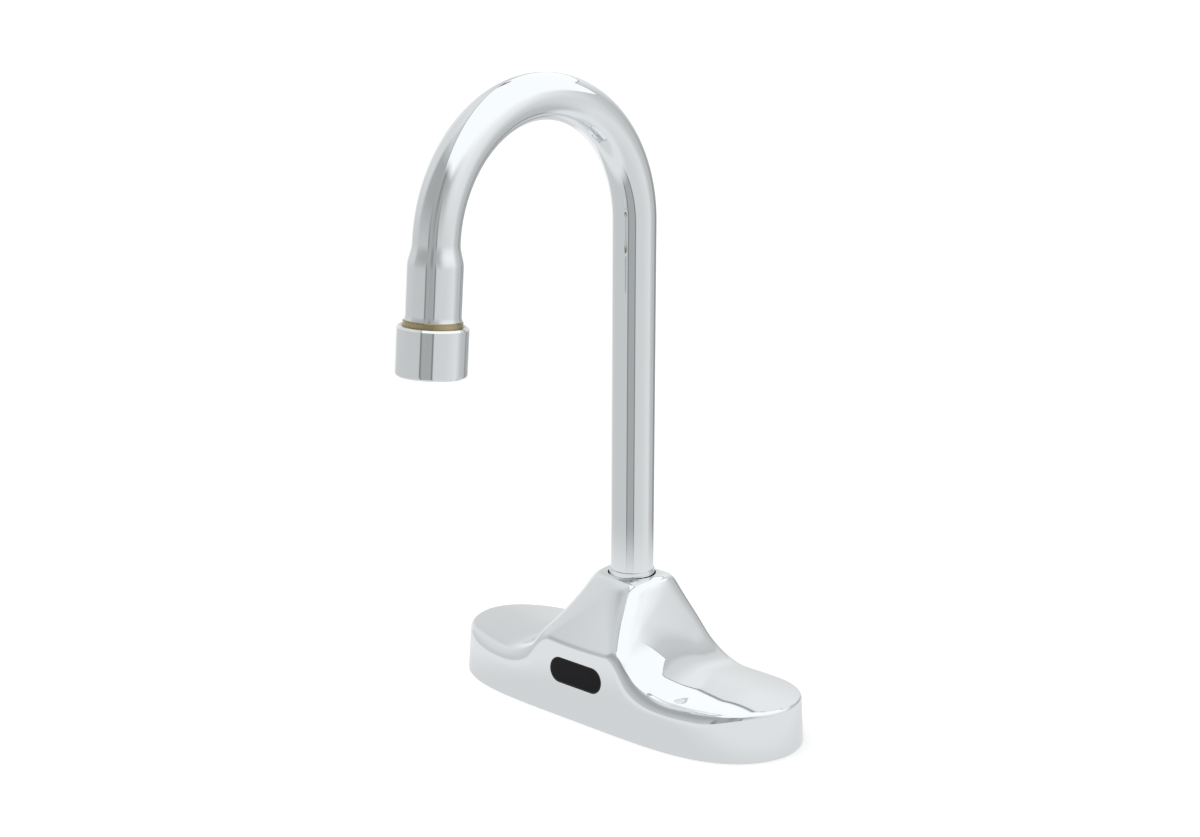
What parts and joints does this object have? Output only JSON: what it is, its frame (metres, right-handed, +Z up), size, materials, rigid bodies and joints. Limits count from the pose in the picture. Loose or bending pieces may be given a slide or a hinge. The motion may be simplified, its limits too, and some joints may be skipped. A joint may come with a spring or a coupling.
{
  "type": "sensor tap",
  "caption": "Deck-mounted sensor tap for a basin: oval base with a raised middle and an infra-red window, and a tall swivelling gooseneck spout with an aerator.",
  "frame": {"origin": "the spout's swivel axis at the deck, midway between the two stud holes", "axes": "+Z up, +X along the base to the right as seen from behind the tap, -Y the front, where the sensor window and the spout at rest point"},
  "size_m": [0.1518, 0.1379, 0.2349],
  "materials": {
    "chrome": "polished",
    "brass": "machined",
    "stainless_steel": "bright",
    "black_rubber": "matte",
    "window_plastic": "glossy, clear to infra-red light",
    "black_plastic": "matte",
    "white_plastic": "matte",
    "lamp_plastic": "glossy",
    "circuit_board": "satin"
  },
  "bodies": {
    "base": {"base_body": "chrome", "base_gasket": "black_rubber", "window_seal": "black_rubber", "sensor_window": "window_plastic", "sensor_housing": "black_plastic", "sensor_circuit_board": "circuit_board", "ir_emitter": "lamp_plastic", "ir_receiver": "lamp_plastic", "light_divider": "black_plastic", "sensor_back_cover": "black_plastic", "lead_grommet": "black_rubber", "housing_screws": "stainless_steel", "spout_socket": "brass", "socket_locknut": "brass", "inlet_strainer": "stainless_steel", "thrust_washer": "white_plastic", "retaining_ring": "stainless_steel"},
    "spout": {"spout_stem": "brass", "stem_o_rings": "black_rubber", "gooseneck_tube": "chrome", "spout_foot_ring": "chrome", "outlet_nipple": "brass", "aerator_housing": "chrome", "aerator_washer": "black_rubber", "flow_regulator": "white_plastic", "aerator_screen": "stainless_steel", "aerator_insert": "white_plastic", "outlet_grid": "white_plastic"}
  },
  "joints": [
    {"name": "spout_swivel", "type": "hinge", "parent": "base", "child": "spout", "pos_m": [0, 0, 0], "axis": [0, 0, 1], "continuous": true}
  ]
}
